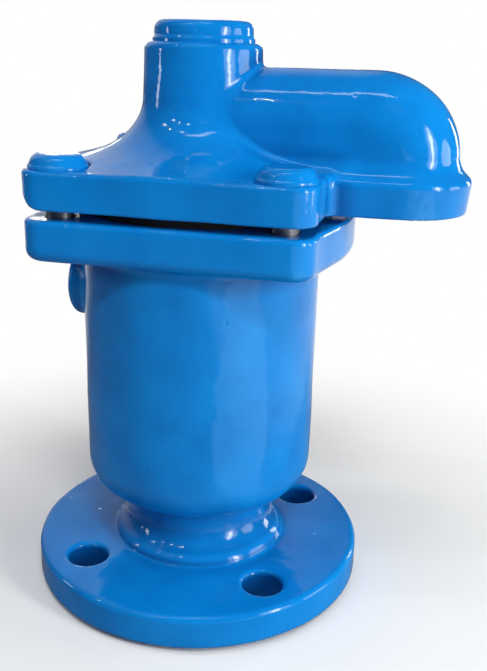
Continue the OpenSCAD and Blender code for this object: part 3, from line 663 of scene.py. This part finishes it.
panels = {
    "rightWindow": ((1.10, -0.50, 0.40), (0.02, 0, 0.18), (0.46, 0.9), 5.2, (1, 1, 0.94)),
    "windowPane": ((1.08, -0.50, 0.42), (0.02, 0, 0.18), (0.13, 0.7), 6, (1, 1, 0.96)),
    "sideWindow": ((1.15, 0.15, 0.24), (0.02, 0, 0.14), (0.5, 0.5), 3.7, (1, 1, 0.84)),
    "backWindow": ((0.80, 0.95, 0.32), (0.02, 0, 0.10), (0.16, 0.5), 2, (1, 1, 0.92)),
    "leftWindow": ((-0.60, -0.16, 0.26), (0.0, 0, 0.24), (0.05, 0.20), 0.3, (0.9, 0.94, 1)),
    "frontFill": ((0.38, -0.90, 1.25), (0.02, 0, 0.14), (0.4, 0.3), 7.4, (1, 1, 1)),
    "overhead": ((0.0, 0.1, 1.5), (0.02, 0, 0.14), (1.6, 1.2), 2, (0.97, 0.97, 1)),
    "ceilingTube": ((0.05, -0.35, 1.35), (0.02, 0, 0.14), (0.7, 0.10), 1.7, (1, 1, 1)),
    "backPane": ((-0.30, 0.92, 0.345), (0.0, 0, 0.21), (0.55, 0.10), 0.5, (1, 1, 1)),
    "benchGleam": ((0.36, -0.25, 0.004), (0.3599, -0.24994, 1.0), (0.31, 0.6), 0.75, (0.5, 0.85, 1)),
}
lightOnly = ("frontFill", "overhead")  # the paint doesn't mirror these
gleamOnly = ("benchGleam",)  # and this one is only mirrored
lamps = {
    "first": (-1.05, -0.40, 1.20), "columns": 3, "columnStep": 0.35,
    "rows": 2, "rowStep": 0.45, "rowShift": 0.1,
    "aim": (0, 0, 0.2), "size": (0.05, 0.05), "power": 0.5, "colour": (1, 1, 1),
}


def addPanel(name, place, aim, size, power, colour):
    data = bpy.data.lights.new(name, "AREA")
    data.shape = "ELLIPSE"
    data.size, data.size_y = size
    data.energy = power
    data.color = colour
    panel = bpy.data.objects.new(name, data)
    forward = np.array(aim, float) - np.array(place, float)
    forward /= np.linalg.norm(forward)
    side = np.cross(forward, (0, 0, 1))
    side /= np.linalg.norm(side)
    panel.matrix_world = placed(side, np.cross(side, forward), -forward, place)
    panel.visible_glossy = name not in lightOnly
    panel.visible_diffuse = name not in gleamOnly
    panel.visible_camera = False
    scene.collection.objects.link(panel)


for name, values in panels.items():
    addPanel(name, *values)
firstX, firstY, lampZ = lamps["first"]
for row in range(lamps["rows"]):
    for column in range(lamps["columns"]):
        lampX = firstX + lamps["columnStep"] * column + lamps["rowShift"] * row
        lampPlace = (lampX, firstY - lamps["rowStep"] * row, lampZ)
        addPanel(f"ceilingLamp{row}{column}", lampPlace, lamps["aim"], lamps["size"], lamps["power"],
                 lamps["colour"])

# Background: white for the camera, and a pale wall on the left behind the object for mirrored rays

room = {
    "shade": (0.86, 0.88, 0.96, 1), "shadeStrength": 0.10,
    "wallWay": (-0.55, 0.65, 0.52), "wallEdge": (0.80, 0.94), "wallLight": 0.8,
}


def addRoom():
    world = bpy.data.worlds.new("studio")
    scene.world = world
    world.use_nodes = True
    tree = world.node_tree
    backdrop = tree.nodes["Background"]
    backdrop.inputs["Color"].default_value = room["shade"]
    backdrop.inputs["Strength"].default_value = room["shadeStrength"]
    white = addNode(tree, "ShaderNodeBackground", strength=1.0)
    white.inputs["Color"].default_value = grey(1)
    rays = addNode(tree, "ShaderNodeLightPath")
    toWall = addNode(tree, "ShaderNodeVectorMath", operation="DOT_PRODUCT")
    tree.links.new(addNode(tree, "ShaderNodeTexCoord").outputs["Generated"], toWall.inputs[0])
    toWall.inputs[1].default_value = room["wallWay"]
    wall = smoothRange(tree, toWall.outputs["Value"], room["wallEdge"], room["wallLight"])
    reflected = linkedMath(tree, "MULTIPLY", mirrorRays(tree, rays), wall)
    shown = linkedMath(tree, "MAXIMUM", rays.outputs["Is Camera Ray"], reflected)
    seen = addNode(tree, "ShaderNodeMixShader")
    tree.links.new(shown, seen.inputs["Fac"])
    tree.links.new(backdrop.outputs["Background"], seen.inputs[1])
    tree.links.new(white.outputs["Background"], seen.inputs[2])
    tree.links.new(seen.outputs["Shader"], tree.nodes["World Output"].inputs["Surface"])


addRoom()

# Floor: pale for the camera, with the object's shadow, fading to plain white away from it

ground = {
    "half": 4.0, "grainScale": 6, "grainDetail": 3, "grainPlaces": (0.3, 0.7), "pale": (0.92, 0.95),
    "dark": (0.25, 0.25, 0.26, 1), "spread": 0.35, "roughness": 0.9, "specular": 0.1,
    "rightEdge": (0.17, 0.30), "backEdge": (0.15, 0.45), "backShare": 0.8, "fadeEdge": (0.10, 0.34),
}


def addFloor():
    g = ground
    mesh = bpy.data.meshes.new("floor")
    square = g["half"] * np.array([(-1, -1, 0), (1, -1, 0), (1, 1, 0), (-1, 1, 0)])
    mesh.from_pydata(square, (), [(0, 1, 2, 3)])
    material, tree, shader = newMaterial("paleFloor")
    place = objectCoordinates(tree)
    grain = noise(tree, place, g["grainScale"], g["grainDetail"])
    pale = colourRamp(tree, grain, g["grainPlaces"], [grey(level) for level in g["pale"]])
    # darker for other rays, so that it throws little light back; the paint mirrors its right and back
    rays = addNode(tree, "ShaderNodeLightPath")
    across = splitAxes(tree, place)
    right = smoothRange(tree, across["X"], g["rightEdge"])
    behind = linkedMath(tree, "MULTIPLY", smoothRange(tree, across["Y"], g["backEdge"]), g["backShare"])
    mirrored = mirrorRays(tree, rays)
    sideGleam = linkedMath(tree, "MULTIPLY", mirrored, right)
    backGleam = linkedMath(tree, "MULTIPLY", mirrored, behind)
    gleam = linkedMath(tree, "MAXIMUM", sideGleam, backGleam)
    white = linkedMath(tree, "MAXIMUM", rays.outputs["Is Camera Ray"], gleam)
    spread = linkedMath(tree, "MULTIPLY", rays.outputs["Is Diffuse Ray"], g["spread"])
    shade = addNode(tree, "ShaderNodeMix", data_type="RGBA")
    shade.inputs[6].default_value = g["dark"]
    tree.links.new(linkedMath(tree, "MAXIMUM", white, spread), shade.inputs["Factor"])
    tree.links.new(pale, shade.inputs[7])
    tree.links.new(shade.outputs[2], shader.inputs["Base Color"])
    shader.inputs["Roughness"].default_value = g["roughness"]
    shader.inputs["Specular IOR Level"].default_value = g["specular"]
    away = addNode(tree, "ShaderNodeVectorMath", operation="LENGTH")
    tree.links.new(place, away.inputs[0])
    fade = smoothRange(tree, away.outputs["Value"], g["fadeEdge"])
    plain = addNode(tree, "ShaderNodeEmission", strength=1.0)
    plain.inputs["Color"].default_value = grey(1)
    mixed = addNode(tree, "ShaderNodeMixShader")
    tree.links.new(linkedMath(tree, "MULTIPLY", fade, white), mixed.inputs["Fac"])
    tree.links.new(shader.outputs["BSDF"], mixed.inputs[1])
    tree.links.new(plain.outputs["Emission"], mixed.inputs[2])
    tree.links.new(mixed.outputs["Shader"], tree.nodes["Material Output"].inputs["Surface"])
    mesh.materials.append(material)
    floor = bpy.data.objects.new("floor", mesh)
    scene.collection.objects.link(floor)


addFloor()
print("light and floor set")
